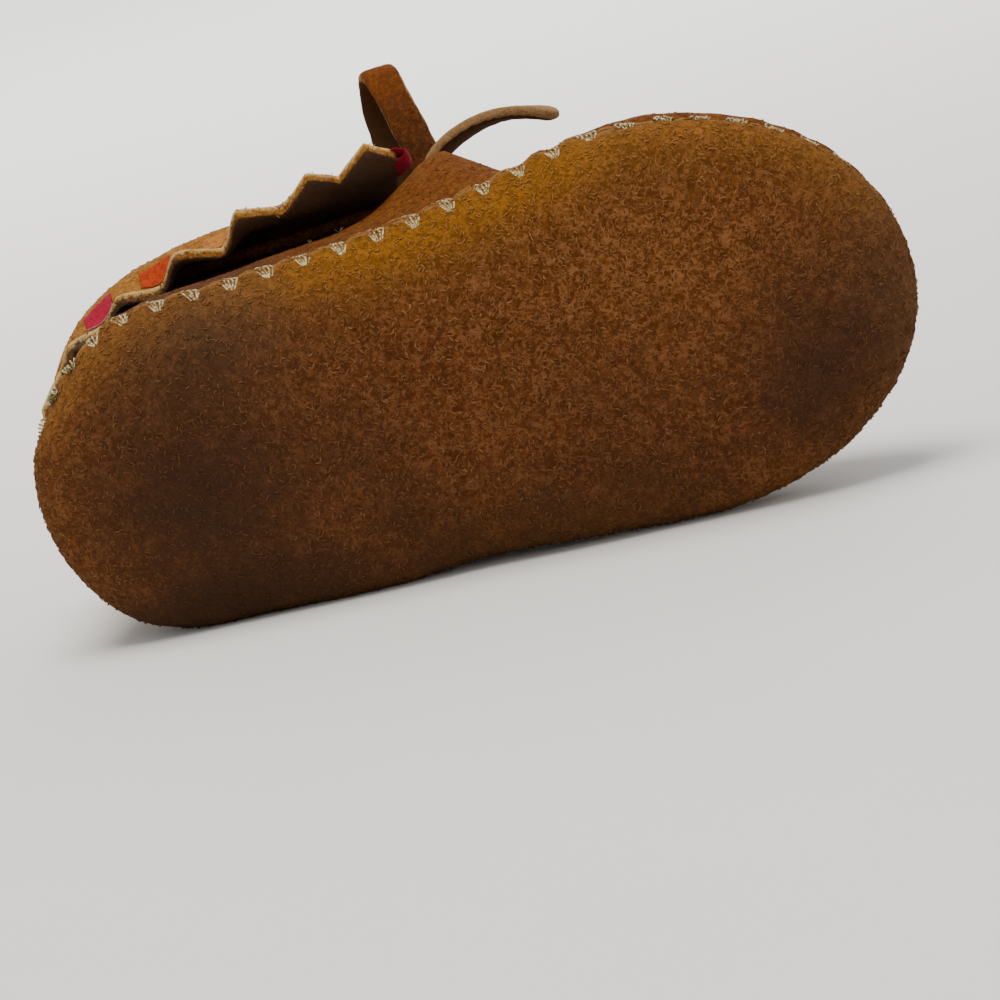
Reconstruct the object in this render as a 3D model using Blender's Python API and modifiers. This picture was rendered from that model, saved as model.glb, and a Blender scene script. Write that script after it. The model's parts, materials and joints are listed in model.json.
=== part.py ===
"""Baby moccasin for the right foot, lying on its inner side.

A soft suede sole is dished up to a seam that runs right round the foot. The upper is one
hollow suede wall, closed over the forefoot and open at the ankle, with a folded cuff that is
cut to teeth, a tongue, a felt insole and a flat thong tied in a bow.

Everything is modelled standing: X from heel to toe, Y towards the inner side of the foot and
Z up from the tread. The shoe is then laid on its inner side and moved to its origin.
"""

import math
from collections import namedtuple

import bmesh
import bpy
from mathutils import Matrix, Vector
from mathutils.geometry import intersect_ray_tri

MM = 0.001

# Driving sizes
SOLE_LENGTH = 112 * MM
BALL_WIDTH = 52 * MM
SOLE_SUEDE = 1.6 * MM
UPPER_SUEDE = 1.4 * MM
FELT = 1.3 * MM
GAP = 0.3 * MM

# Round ends of the sole, and how far its edge curls up to the seam
HEEL_ROUND = 22 * MM
TOE_ROUND = 31 * MM
CURL = 8 * MM
WAIST_LIFT = 0.9 * MM
WAIST_FROM, WAIST_TO = 0.33, 0.58
SPRING = 3.6 * MM
SPRING_FROM = 0.80
STITCH_BAND = 2.0 * MM
# the sole's rim leans in as it rises, so the wall starts this far above it
RIM_CLEAR = 0.75 * MM

# Cuff
CUFF_END = 0.45
CUFF_TEETH = 15
CUFF_DROP = 18.5 * MM
CUFF_SPLAY = 4.6 * MM
TOOTH_DEPTH = 4.2 * MM
CUFF_TURN_IN = 2.6 * MM
FOLD_STAND_OFF = 2.9 * MM
HEM_STAND_OFF = 0.9 * MM

# Thong
THONG_WIDTH = 3.8 * MM
THONG_THICK = 1.7 * MM
THONG_STEP = 3.2 * MM
THONG_DOWN = 4.4 * MM
THONG_LEAN = math.radians(20)
KNOT = Vector((56.5, -8.0, 37.8)) * MM
KNOT_SIZE = Vector((6.4, 6.0, 5.0)) * MM

MERGE = 0.001 * MM

Outline = namedtuple("Outline", "along outer inner seam")
# along the sole from the heel, as shares of its length; half widths as shares of the ball
# width; height of the seam above the tread
OUTLINE = [
    Outline(0.00, 0.408, 0.448, 7.4 * MM),
    Outline(0.10, 0.398, 0.416, 6.6 * MM),
    Outline(0.20, 0.395, 0.400, 6.0 * MM),
    Outline(0.34, 0.403, 0.419, 5.6 * MM),
    Outline(0.46, 0.417, 0.414, 5.8 * MM),
    Outline(0.57, 0.450, 0.428, 5.8 * MM),
    Outline(0.70, 0.505, 0.453, 5.8 * MM),
    Outline(0.82, 0.499, 0.456, 6.8 * MM),
    Outline(1.00, 0.494, 0.455, 9.4 * MM),
]

TopLine = namedtuple("TopLine", "along height opening bulge fall puff")
# height of the collar, and past the throat of the ridge; opening as a share of the reach from
# the middle to the edge; bulge and fall shape the wall between the seam and the top; puff is
# how far it swells half way up, as a share of that reach
TOP_LINE = [
    TopLine(0.00, 37.6 * MM, 0.74, 1.9, 1.4, 0.0),
    TopLine(0.10, 37.2 * MM, 0.72, 2.0, 1.35, 0.0),
    TopLine(0.20, 36.6 * MM, 0.72, 2.0, 1.5, 0.0),
    TopLine(0.34, 36.0 * MM, 0.72, 2.0, 1.5, 0.0),
    TopLine(0.43, 35.4 * MM, 0.70, 2.2, 1.9, 0.0),
    TopLine(0.475, 34.6 * MM, 0.62, 2.6, 2.6, 0.02),
    TopLine(0.51, 33.4 * MM, 0.43, 2.9, 3.2, 0.06),
    TopLine(0.53, 32.6 * MM, 0.00, 2.8, 3.1, 0.125),
    TopLine(0.56, 31.8 * MM, 0.00, 2.6, 2.7, 0.055),
    TopLine(0.60, 30.6 * MM, 0.00, 2.3, 2.2, 0.0),
    TopLine(0.72, 27.4 * MM, 0.00, 2.1, 1.75, 0.0),
    TopLine(0.82, 25.4 * MM, 0.00, 2.1, 1.75, 0.0),
    TopLine(0.92, 23.4 * MM, 0.00, 2.1, 1.8, 0.0),
    TopLine(1.00, 21.6 * MM, 0.00, 2.1, 1.8, 0.0),
]

Flare = namedtuple("Flare", "along out belly")
# along the cuff from its outer front end round the heel to its inner front end: how far its
# edge swings out, and how far its middle bellies out over that
FLARE = [
    Flare(0.00, 9.0 * MM, 0.0 * MM),
    Flare(0.09, 7.4 * MM, 0.2 * MM),
    Flare(0.15, 5.6 * MM, 0.7 * MM),
    Flare(0.20, 3.3 * MM, 0.8 * MM),
    Flare(0.26, 0.8 * MM, 0.3 * MM),
    Flare(0.33, 0.0 * MM, 0.0 * MM),
    Flare(0.40, 0.0 * MM, 0.0 * MM),
    Flare(0.80, 0.0 * MM, 0.0 * MM),
    Flare(1.00, 0.6 * MM, 0.0 * MM),
]

Spoke = namedtuple("Spoke", "root ray reach along seam")


# ---- shared helpers ----

def smooth(share):
    share = min(max(share, 0.0), 1.0)
    return share * share * (3 - 2 * share)


def read(table, column, along):
    """A column of a table at any place along it, on a smooth curve through the rows."""
    rows = [(row.along, getattr(row, column)) for row in table]
    along = min(max(along, rows[0][0]), rows[-1][0])
    last = len(rows) - 1
    at = max(i for i in range(last) if rows[i][0] <= along)
    slopes = []
    for i in (at, at + 1):
        low, high = rows[max(i - 1, 0)], rows[min(i + 1, last)]
        slopes.append((high[1] - low[1]) / (high[0] - low[0]))
    (a, value_a), (b, value_b) = rows[at], rows[at + 1]
    span = b - a
    t = (along - a) / span
    return (
        value_a * (1 + 2 * t) * (1 - t) ** 2
        + value_b * t * t * (3 - 2 * t)
        + slopes[0] * span * t * (1 - t) ** 2
        - slopes[1] * span * t * t * (1 - t)
    )


def catmull_rom(route, step):
    """Points about one step apart on a smooth curve through a route's own points."""
    ends = [route[0] * 2 - route[1], *route, route[-1] * 2 - route[-2]]
    points = []
    for a, b, c, d in zip(ends, ends[1:], ends[2:], ends[3:]):
        count = max(1, round((c - b).length / step))
        for i in range(count):
            t = i / count
            points.append(
                (b * 2 + (c - a) * t + (a * 2 - b * 5 + c * 4 - d) * t * t
                 + (b * 3 - a - c * 3 + d) * t ** 3) / 2
            )
    return points + [route[-1]]


def material(name, colour, roughness):
    made = bpy.data.materials.new(name)
    made.use_nodes = True
    shader = made.node_tree.nodes["Principled BSDF"]
    shader.inputs["Base Color"].default_value = (*colour, 1)
    shader.inputs["Roughness"].default_value = roughness
    shader.inputs["Metallic"].default_value = 0
    return made


def add_object(name, data, finish, collection):
    made = bpy.data.objects.new(name, data)
    data.materials.append(finish)
    collection.objects.link(made)
    return made


def loft(name, rings, closed, finish, collection):
    """An open surface through rings of points; points that meet are merged."""
    mesh = bpy.data.meshes.new(name)
    bm = bmesh.new()
    grid = [[bm.verts.new(point) for point in ring] for ring in rings]
    around = len(rings[0]) if closed else len(rings[0]) - 1
    for low, high in zip(grid, grid[1:]):
        for i in range(around):
            j = (i + 1) % len(low)
            bm.faces.new((low[i], low[j], high[j], high[i]))
    bmesh.ops.remove_doubles(bm, verts=bm.verts, dist=MERGE)
    bm.to_mesh(mesh)
    bm.free()
    mesh.shade_smooth()
    return add_object(name, mesh, finish, collection)


def thicken(made, thickness, offset):
    wall = made.modifiers.new("Wall", "SOLIDIFY")
    wall.thickness = thickness
    wall.offset = offset
    wall.use_even_offset = True
    wall.use_quality_normals = True


# ---- the last: outline, tread and wall ----

def half_width(side, x):
    column = "outer" if side < 0 else "inner"
    return read(OUTLINE, column, x / SOLE_LENGTH) * BALL_WIDTH


def spoke_to(root_x, x, y):
    root = Vector((root_x, 0, 0))
    edge = Vector((x, y, 0))
    along = x / SOLE_LENGTH
    seam = read(OUTLINE, "seam", along)
    return Spoke(root, (edge - root).normalized(), (edge - root).length, along, seam)


def side_spokes(side, heel_steps, body_steps, toe_steps):
    """Spokes of one side from the back of the heel to the tip of the toe."""
    toe_centre = SOLE_LENGTH - TOE_ROUND
    spokes = []
    for i in range(heel_steps):
        turn = math.pi / 2 * i / heel_steps
        x = HEEL_ROUND * (1 - math.cos(turn))
        spokes.append(spoke_to(HEEL_ROUND, x, side * half_width(side, x) * math.sin(turn)))
    for i in range(body_steps):
        x = HEEL_ROUND + (toe_centre - HEEL_ROUND) * i / body_steps
        spokes.append(spoke_to(x, x, side * half_width(side, x)))
    for i in range(toe_steps + 1):
        turn = math.pi / 2 * i / toe_steps
        x = toe_centre + TOE_ROUND * math.sin(turn)
        spokes.append(spoke_to(toe_centre, x, side * half_width(side, x) * math.cos(turn)))
    return spokes


def all_spokes(heel_steps, body_steps, toe_steps):
    """Spokes right round the foot: heel, outer side, toe, inner side."""
    outer = side_spokes(-1, heel_steps, body_steps, toe_steps)
    inner = side_spokes(1, heel_steps, body_steps, toe_steps)
    return outer + inner[-2:0:-1]


def tread_lift(x):
    along = x / SOLE_LENGTH
    waist = 0.0
    if WAIST_FROM < along < WAIST_TO:
        waist = math.sin(math.pi * (along - WAIST_FROM) / (WAIST_TO - WAIST_FROM)) ** 2
    spring = smooth((along - SPRING_FROM) / (2 * (1 - SPRING_FROM)))
    return WAIST_LIFT * waist + 2 * SPRING * spring


def tread_point(spoke, share):
    """On the outer face of the sole; share runs from the middle to the edge."""
    place = spoke.root + spoke.ray * spoke.reach * share
    lift = tread_lift(place.x)
    inside = spoke.reach * (1 - share)
    curl = 0.0
    if inside < CURL:
        curl = 1 - math.sqrt(1 - (1 - inside / CURL) ** 2)
    place.z = lift + (spoke.seam - lift) * curl
    return place


def wall_reach(spoke, rise):
    """How far out the upper's wall stands; rise runs from 0 at the seam to 1 at the top."""
    opening = max(read(TOP_LINE, "opening", spoke.along), 0.0)
    bulge = read(TOP_LINE, "bulge", spoke.along)
    fall = read(TOP_LINE, "fall", spoke.along)
    closed = (1 - opening ** bulge) * rise ** fall
    puff = 1 + read(TOP_LINE, "puff", spoke.along) * math.sin(math.pi * rise)
    return spoke.reach * puff * max(1 - closed, 0.0) ** (1 / bulge)


def wall_foot(spoke):
    return spoke.seam + GAP + STITCH_BAND


def wall_point(spoke, rise):
    place = spoke.root + spoke.ray * wall_reach(spoke, rise)
    along = spoke.along
    if spoke.root.x > SOLE_LENGTH - TOE_ROUND - MERGE:
        along = place.x / SOLE_LENGTH
    top = read(TOP_LINE, "height", along)
    place.z = wall_foot(spoke) + (top - wall_foot(spoke)) * rise
    return place


def wall_reach_at(spoke, height):
    """How far out the quarter's wall stands at a height above the tread."""
    top = read(TOP_LINE, "height", spoke.along)
    rise = (height - wall_foot(spoke)) / (top - wall_foot(spoke))
    return wall_reach(spoke, min(max(rise, 0.0), 1.0))


def at_height(spoke, out, height):
    place = spoke.root + spoke.ray * out
    place.z = height
    return place


# ---- pieces ----

def seam_spokes():
    """The spokes that sole and upper share; closer together where the throat closes."""
    throat = next(row.along for row in TOP_LINE if row.opening == 0)
    stops = [HEEL_ROUND / SOLE_LENGTH, 0.25, 0.31, 0.37, 0.42, 0.455, 0.485, 0.50, 0.51,
             0.52, throat, 0.56, 0.60, 0.64, 0.68]
    sides = []
    for side in (-1, 1):
        ends = side_spokes(side, 8, 1, 9)
        body = []
        for stop in stops:
            x = stop * SOLE_LENGTH
            body.append(spoke_to(x, x, side * half_width(side, x)))
        sides.append(ends[:8] + body + ends[9:])
    return sides[0] + sides[1][-2:0:-1]


def make_sole(finish, collection):
    spokes = seam_spokes()
    shares = [1 - inside for inside in (0.0, 0.025, 0.08, 0.17, 0.30, 0.52, 0.76, 1.0)]
    rings = [[tread_point(spoke, share) for spoke in spokes] for share in shares]
    sole = loft("sole", rings, True, finish, collection)
    thicken(sole, SOLE_SUEDE, 1)
    return sole


def make_insole(finish, collection):
    spokes = all_spokes(6, 10, 7)
    clear = 6.4 * MM
    rings = []
    for share in (1.0, 0.8, 0.5, 0.0):
        ring = []
        for spoke in spokes:
            inner = spoke.reach - clear
            place = tread_point(spoke, inner * share / spoke.reach)
            place.z += SOLE_SUEDE + GAP + 0.2 * MM
            ring.append(place)
        rings.append(ring)
    insole = loft("insole", rings, True, finish, collection)
    thicken(insole, FELT, 1)
    return insole


def make_upper(finish, collection):
    spokes = seam_spokes()
    steps = 11
    rings = [[at_height(s, s.reach, s.seam + RIM_CLEAR) for s in spokes]]
    for step in range(steps + 1):
        ring = []
        for spoke in spokes:
            end = math.acos(min(0.9 * max(read(TOP_LINE, "opening", spoke.along), 0.0), 1.0))
            ring.append(wall_point(spoke, math.sin(end * step / steps) / math.sin(end)))
        rings.append(ring)
    upper = loft("upper", rings, True, finish, collection)
    thicken(upper, UPPER_SUEDE, -1)
    return upper


def collar_spokes(count, end):
    """Evenly spaced spokes from one front end of the collar round the heel to the other."""
    fine = 40
    trail = []
    for side in (-1, 1):
        one = [s for s in side_spokes(side, fine, fine * 4, 1) if s.along < end]
        x = end * SOLE_LENGTH
        one.append(spoke_to(x, x, side * half_width(side, x)))
        trail.append(one)
    path = trail[0][::-1] + trail[1][1:]
    places = [s.root + s.ray * s.reach for s in path]
    travelled = [0.0]
    for a, b in zip(places, places[1:]):
        travelled.append(travelled[-1] + (b - a).length)
    spokes = []
    for i in range(count + 1):
        target = travelled[-1] * i / count
        k = next((k for k, t in enumerate(travelled) if t >= target - MERGE))
        a, b = max(k - 1, 0), k
        span = travelled[b] - travelled[a]
        t = (target - travelled[a]) / span if span else 0.0
        edge = places[a].lerp(places[b], t)
        spokes.append(spoke_to(path[a].root.lerp(path[b].root, t).x, edge.x, edge.y))
    return spokes


def cuff_section(spoke, share, tooth):
    """The cuff's inner face, from inside the collar, over the fold and down to its edge."""
    top = read(TOP_LINE, "height", spoke.along)
    wall = UPPER_SUEDE * 1.2
    flare = read(FLARE, "out", share)
    belly = read(FLARE, "belly", share)
    inside = [
        (wall_reach_at(spoke, top - drop) - wall - 1.4 * GAP, top - drop)
        for drop in (CUFF_TURN_IN, 1.0 * MM)
    ]
    collar = wall_reach(spoke, 1.0)
    fold = [
        (collar - 0.8 * UPPER_SUEDE, top + 0.6 * MM),
        (collar + 0.1 * UPPER_SUEDE, top + 1.1 * MM),
        (collar + 1.1 * UPPER_SUEDE, top + 0.6 * MM),
    ]
    notch = CUFF_DROP - TOOTH_DEPTH
    outside = []
    for fall in (0.05, 0.18, 0.34, 0.50, 0.66, 0.83, 1.0, 1.0 + tooth * TOOTH_DEPTH / notch):
        height = top - notch * fall
        hang = smooth((fall - 0.4) / 0.6)
        stand_off = FOLD_STAND_OFF * (1 - hang) * (0.8 + 0.2 * smooth(fall / 0.18))
        swing = flare * (fall * notch / CUFF_DROP) ** 2.2
        bow = belly * math.sin(math.pi * min(fall, 1.0)) ** 1.5
        out = wall_reach_at(spoke, height) + stand_off + HEM_STAND_OFF * hang + swing + bow
        outside.append((out, height))
    return inside + fold + outside


def make_cuff(finish, collection):
    quarter_teeth = 4 * CUFF_TEETH
    spokes = collar_spokes(quarter_teeth, CUFF_END)
    sections = []
    for i, spoke in enumerate(spokes):
        tooth = 1 - abs((i % 4) / 2 - 1)
        share = i / quarter_teeth
        top = read(TOP_LINE, "height", spoke.along)
        section = []
        for out, height in cuff_section(spoke, share, tooth):
            place = at_height(spoke, out, height)
            fall = max(top - height, 0) / CUFF_DROP
            place.x += CUFF_SPLAY * fall * (2 * share - 1) ** 2
            section.append(place)
        sections.append(section)
    rings = [list(ring) for ring in zip(*sections)]
    cuff = loft("cuff", rings, False, finish, collection)
    thicken(cuff, UPPER_SUEDE, 1)
    return cuff


TonguePlace = namedtuple("TonguePlace", "x height half_width arch")
TONGUE = [
    TonguePlace(70.0 * MM, 27.9 * MM, 9.0 * MM, 2.8 * MM),
    TonguePlace(64.0 * MM, 29.5 * MM, 10.0 * MM, 2.6 * MM),
    TonguePlace(58.5 * MM, 30.4 * MM, 9.8 * MM, 2.4 * MM),
    TonguePlace(53.5 * MM, 33.0 * MM, 9.2 * MM, 2.2 * MM),
    TonguePlace(49.5 * MM, 37.0 * MM, 8.6 * MM, 1.9 * MM),
    TonguePlace(46.6 * MM, 41.2 * MM, 8.0 * MM, 1.6 * MM),
    TonguePlace(44.8 * MM, 44.8 * MM, 6.4 * MM, 1.2 * MM),
    TonguePlace(44.0 * MM, 46.8 * MM, 4.0 * MM, 0.6 * MM),
]


def make_tongue(finish, collection):
    across = 8
    rings = []
    for place in TONGUE:
        ring = []
        for i in range(across + 1):
            share = 2 * i / across - 1
            drop = place.arch * share * share
            ring.append(Vector((place.x, share * place.half_width, place.height - drop)))
        rings.append(ring)
    tongue = loft("tongue", rings, False, finish, collection)
    thicken(tongue, UPPER_SUEDE, -1)
    return tongue


# ---- thong ----

# Routes by hand, in millimetres from the heel, towards the inner side and up
LOOP_OUTER = [
    (57.2, -11.5, 38.9), (56.6, -15.0, 40.1), (55.7, -19.4, 41.8), (54.3, -24.6, 44.6),
    (52.9, -29.6, 48.0), (51.8, -32.4, 51.6), (50.7, -31.6, 55.0), (50.0, -27.8, 56.2),
    (50.2, -22.4, 54.4), (51.4, -16.8, 50.2), (53.4, -11.8, 45.0), (55.0, -9.4, 41.9),
]
LOOP_INNER = [
    (57.0, -4.3, 38.6), (56.2, 0.0, 40.0), (55.2, 6.0, 41.2), (54.2, 12.0, 42.0),
    (53.2, 17.6, 43.2), (52.2, 20.8, 45.8), (51.2, 20.6, 49.2), (50.6, 16.8, 51.4),
    (50.4, 11.0, 51.4), (51.0, 4.6, 49.2), (52.8, -1.4, 45.4), (55.0, -5.8, 42.0),
]
END_OUTER = [
    (57.0, -11.5, 35.9), (56.4, -14.4, 35.2), (55.9, -17.6, 34.6), (55.6, -20.6, 34.2),
    (57.6, -23.2, 34.3), (61.3, -25.0, 34.8), (65.1, -25.7, 35.5), (69.0, -25.4, 35.9),
    (74.0, -23.6, 36.0),
]
END_INNER = [
    (60.2, -6.6, 38.0), (62.4, -3.4, 38.4), (64.6, 2.0, 38.0), (66.8, 8.6, 36.2),
    (69.2, 15.0, 33.6), (72.0, 20.0, 31.2), (75.4, 22.6, 29.2), (79.2, 23.6, 28.0),
]
# The run's last stretch on each side, from the cuff's front end over the wall to the knot
RUN_OUTER = [(52.9, -17.6, 34.0), (53.0, -14.6, 36.4), (53.8, -11.6, 37.6)]
RUN_INNER = [
    (56.6, -3.6, 35.8), (56.6, 2.0, 36.4), (56.0, 8.4, 36.6), (54.6, 14.2, 36.0),
    (53.6, 17.4, 33.9),
]


def route(rows):
    return [Vector(row) * MM for row in rows]


def thong(name, points, tilts, width_along_x, finish, collection):
    """A flat strip along points. Its width stands along Z, or along X, before any tilt."""
    curve = bpy.data.curves.new(name, "CURVE")
    curve.dimensions = "3D"
    curve.twist_mode = "Z_UP"
    curve.fill_mode = "FULL"
    curve.bevel_depth = THONG_THICK / 2
    curve.extrude = (THONG_WIDTH - THONG_THICK) / 2
    curve.bevel_resolution = 2
    curve.use_fill_caps = True
    made = add_object(name, curve, finish, collection)
    if width_along_x:
        made.rotation_euler = Matrix(((0, 0, 1), (1, 0, 0), (0, 1, 0))).to_euler()
    to_curve = made.rotation_euler.to_matrix().inverted()
    spline = curve.splines.new("POLY")
    spline.points.add(len(points) - 1)
    for point, place, tilt in zip(spline.points, points, tilts):
        point.co = (*(to_curve @ place), 1)
        point.tilt = tilt
    return made


def make_thong_run(finish, collection):
    """Round the collar inside the fold, and from the cuff's front ends to the knot."""
    points = []
    for spoke in collar_spokes(34, CUFF_END):
        height = read(TOP_LINE, "height", spoke.along) - THONG_DOWN
        out = wall_reach_at(spoke, height) + (THONG_THICK / 2 + 1.4 * GAP) / math.cos(THONG_LEAN)
        points.append(at_height(spoke, out, height))
    before, after = route(RUN_OUTER)[::-1], route(RUN_INNER)[::-1]
    flat = math.pi / 2
    tilts = [flat] * len(before) + [THONG_LEAN] * len(points) + [flat] * len(after)
    thong("lace_run", before + points + after, tilts, False, finish, collection)


def make_knot(finish, collection):
    bm = bmesh.new()
    bmesh.ops.create_uvsphere(bm, u_segments=16, v_segments=10, radius=0.5)
    bmesh.ops.scale(bm, vec=KNOT_SIZE, verts=bm.verts)
    mesh = bpy.data.meshes.new("lace_knot")
    bm.to_mesh(mesh)
    bm.free()
    mesh.shade_smooth()
    add_object("lace_knot", mesh, finish, collection).location = KNOT


def make_bow(finish, collection):
    for name, rows, width_along_x in (
        ("lace_loop_outer", LOOP_OUTER, True),
        ("lace_loop_inner", LOOP_INNER, True),
        ("lace_end_outer", END_OUTER, False),
        ("lace_end_inner", END_INNER, False),
    ):
        points = catmull_rom(route(rows), THONG_STEP)
        thong(name, points, [0.0] * len(points), width_along_x, finish, collection)


# ---- laying the shoe on its side ----

def world_triangles(made):
    graph = bpy.context.evaluated_depsgraph_get()
    mesh = made.evaluated_get(graph).to_mesh()
    mesh.calc_loop_triangles()
    place = made.matrix_world
    corners = [place @ v.co for v in mesh.vertices]
    return [[corners[i] for i in t.vertices] for t in mesh.loop_triangles]


def centre_of_volume(triangles):
    total, moment = 0.0, Vector()
    for a, b, c in triangles:
        volume = a.dot(b.cross(c)) / 6
        total += volume
        moment += (a + b + c) * volume / 4
    return moment / total


def resting_direction(triangles, start):
    """Rolls the shoe over the faces of its hull until its weight stays inside one of them."""
    bm = bmesh.new()
    for triangle in triangles:
        for corner in triangle:
            bm.verts.new(corner)
    bmesh.ops.remove_doubles(bm, verts=bm.verts, dist=MERGE)
    hull = bmesh.ops.convex_hull(bm, input=bm.verts)["geom"]
    faces = [[v.co.copy() for v in f.verts] for f in hull if isinstance(f, bmesh.types.BMFace)]
    bm.free()
    weight = centre_of_volume(triangles)
    down = start
    for _ in range(20):
        under = next(f for f in faces if intersect_ray_tri(*f, down, weight, True))
        normal = (under[1] - under[0]).cross(under[2] - under[0]).normalized()
        if normal.dot(under[0] - weight) < 0:
            normal.negate()
        if normal.dot(down) > 1 - 1e-9:
            break
        down = normal
    return down


def lay_on_inner_side(rig, solids):
    bpy.context.view_layer.update()
    triangles = [t for made in solids for t in world_triangles(made)]
    up = -resting_direction(triangles, Vector((0, 1, 0)))
    forward = (Vector((1, 0, 0)) - up * up.x).normalized()
    turn = Matrix((forward, up.cross(forward), up))
    corners = [turn @ corner for triangle in triangles for corner in triangle]
    low = [min(c[i] for c in corners) for i in range(3)]
    high = [max(c[i] for c in corners) for i in range(3)]
    rig.rotation_euler = turn.to_euler()
    rig.location = (-(low[0] + high[0]) / 2, -(low[1] + high[1]) / 2, -low[2])


def main():
    for old in list(bpy.data.objects):
        bpy.data.objects.remove(old, do_unlink=True)
    collection = bpy.data.collections.new("baby_moccasin")
    bpy.context.scene.collection.children.link(collection)

    upper_suede = material("upper_suede", (0.30, 0.13, 0.04), 0.95)
    cuff_suede = material("cuff_suede", (0.34, 0.17, 0.07), 0.95)
    thong_suede = material("thong_suede", (0.28, 0.14, 0.07), 0.95)

    make_sole(material("sole_suede", (0.25, 0.12, 0.04), 0.95), collection)
    make_insole(material("crimson_felt", (0.45, 0.02, 0.06), 0.95), collection)
    make_upper(upper_suede, collection)
    make_cuff(cuff_suede, collection)
    make_tongue(upper_suede, collection)
    make_thong_run(thong_suede, collection)
    held = list(collection.objects)
    make_knot(thong_suede, collection)
    make_bow(thong_suede, collection)

    rig = bpy.data.objects.new("moccasin_rig", None)
    collection.objects.link(rig)
    lay_on_inner_side(rig, held)
    for made in collection.objects:
        if made is not rig:
            made.parent = rig


main()
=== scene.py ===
"""Baby moccasin for the right foot: the looks.

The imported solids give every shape. Each soft one is dressed with a smooth skin of the same
form; the bow, the seam's whipstitches, the cuff's felt patches and the nap are added. All of it
is made in the shoe's own frame, X from heel to toe, Y towards the inner side of the foot and Z
up from the tread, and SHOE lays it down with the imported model.
"""

import json
import random
from bisect import bisect
from collections import namedtuple
from itertools import accumulate
from math import (
    asin, atan2, copysign, cos, exp, hypot, pi, radians, sin, sqrt, tau
)

import bmesh
import bpy
from mathutils import Matrix, Vector
from mathutils.bvhtree import BVHTree
from mathutils.kdtree import KDTree
from mathutils.noise import noise


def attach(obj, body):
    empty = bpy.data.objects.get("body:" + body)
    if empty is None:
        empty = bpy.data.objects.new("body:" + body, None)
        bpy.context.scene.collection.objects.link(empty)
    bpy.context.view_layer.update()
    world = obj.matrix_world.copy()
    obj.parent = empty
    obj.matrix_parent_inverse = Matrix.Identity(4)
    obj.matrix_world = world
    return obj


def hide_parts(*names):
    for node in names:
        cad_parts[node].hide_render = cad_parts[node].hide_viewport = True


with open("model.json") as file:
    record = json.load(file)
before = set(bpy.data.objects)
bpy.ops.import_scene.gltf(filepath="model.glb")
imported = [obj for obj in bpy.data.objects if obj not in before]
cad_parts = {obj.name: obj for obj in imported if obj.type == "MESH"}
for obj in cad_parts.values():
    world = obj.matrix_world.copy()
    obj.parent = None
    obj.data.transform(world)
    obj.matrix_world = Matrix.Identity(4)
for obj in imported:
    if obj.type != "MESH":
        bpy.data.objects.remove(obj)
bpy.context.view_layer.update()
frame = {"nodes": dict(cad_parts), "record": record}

MM = 0.001
UP = Vector((0, 0, 1))


def mm(*lengths):
    """A place or a way given in millimetres."""
    return Vector(lengths) * MM


# ---- the shoe's own frame ----

FOOTBED_PLACE = mm(28, 4, 3.4)
footbed = next(m for m in frame["record"]["mounts"] if m["name"] == "footbed")
footbed_axis = Vector(footbed["axis"])
TURN = Matrix.Rotation(atan2(footbed_axis.x, footbed_axis.z), 3, "Y") @ Matrix.Rotation(
    -asin(footbed_axis.y), 3, "X"
)
SHOE = Matrix.Translation(Vector(footbed["pos_m"]) - TURN @ FOOTBED_PLACE) @ TURN.to_4x4()
TO_SHOE = SHOE.inverted()

FLOOR_UP = (TO_SHOE.to_3x3() @ UP).normalized()
FLOOR_PLACE = TO_SHOE @ Vector((0, 0, 0))


def above_floor(place, clear):
    """A place, raised where it would be lower than clear above the floor."""
    height = (place - FLOOR_PLACE).dot(FLOOR_UP)
    return place + FLOOR_UP * max(0.0, clear - height)


# ---- sizes repeated from the part ----

SOLE_LENGTH = 112 * MM
BALL_WIDTH = 52 * MM
HEEL_ROUND = 22 * MM
TOE_ROUND = 31 * MM
TOE_CENTRE = SOLE_LENGTH - TOE_ROUND
THONG_WIDTH = 3.8 * MM
THONG_THICK = 1.7 * MM
KNOT = mm(56.5, -8.0, 37.8)
KNOT_SIZE = mm(6.4, 6.0, 5.0)
CUFF_END = 0.45

# half widths in shares of the ball's width, and the height of the seam
Outline = namedtuple("Outline", "along outer inner seam")
OUTLINE = [Outline(along, outer, inner, seam * MM) for along, outer, inner, seam in (
    (0.00, 0.408, 0.448, 7.4), (0.10, 0.398, 0.416, 6.6), (0.20, 0.395, 0.400, 6.0),
    (0.34, 0.403, 0.419, 5.6), (0.46, 0.417, 0.414, 5.8), (0.57, 0.450, 0.428, 5.8),
    (0.70, 0.505, 0.453, 5.8), (0.82, 0.499, 0.456, 6.8), (1.00, 0.494, 0.455, 9.4),
)]

LOOP_OUTER = [
    (57.2, -11.5, 38.9), (56.6, -15.0, 40.1), (55.7, -19.4, 41.8), (54.3, -24.6, 44.6),
    (52.9, -29.6, 48.0), (51.8, -32.4, 51.6), (50.7, -31.6, 55.0), (50.0, -27.8, 56.2),
    (50.2, -22.4, 54.4), (51.4, -16.8, 50.2), (53.4, -11.8, 45.0), (55.0, -9.4, 41.9),
]
LOOP_INNER = [
    (57.0, -4.3, 38.6), (56.2, 0.0, 40.0), (55.2, 6.0, 41.2), (54.2, 12.0, 42.0),
    (53.2, 17.6, 43.2), (52.2, 20.8, 45.8), (51.2, 20.6, 49.2), (50.6, 16.8, 51.4),
    (50.4, 11.0, 51.4), (51.0, 4.6, 49.2), (52.8, -1.4, 45.4), (55.0, -5.8, 42.0),
]
END_OUTER = [
    (57.0, -11.5, 35.9), (56.4, -14.4, 35.2), (55.9, -17.6, 34.6), (55.6, -20.6, 34.2),
    (57.6, -23.2, 34.3), (61.3, -25.0, 34.8), (65.1, -25.7, 35.5), (69.0, -25.4, 35.9),
    (74.0, -23.6, 36.0),
]
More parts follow.
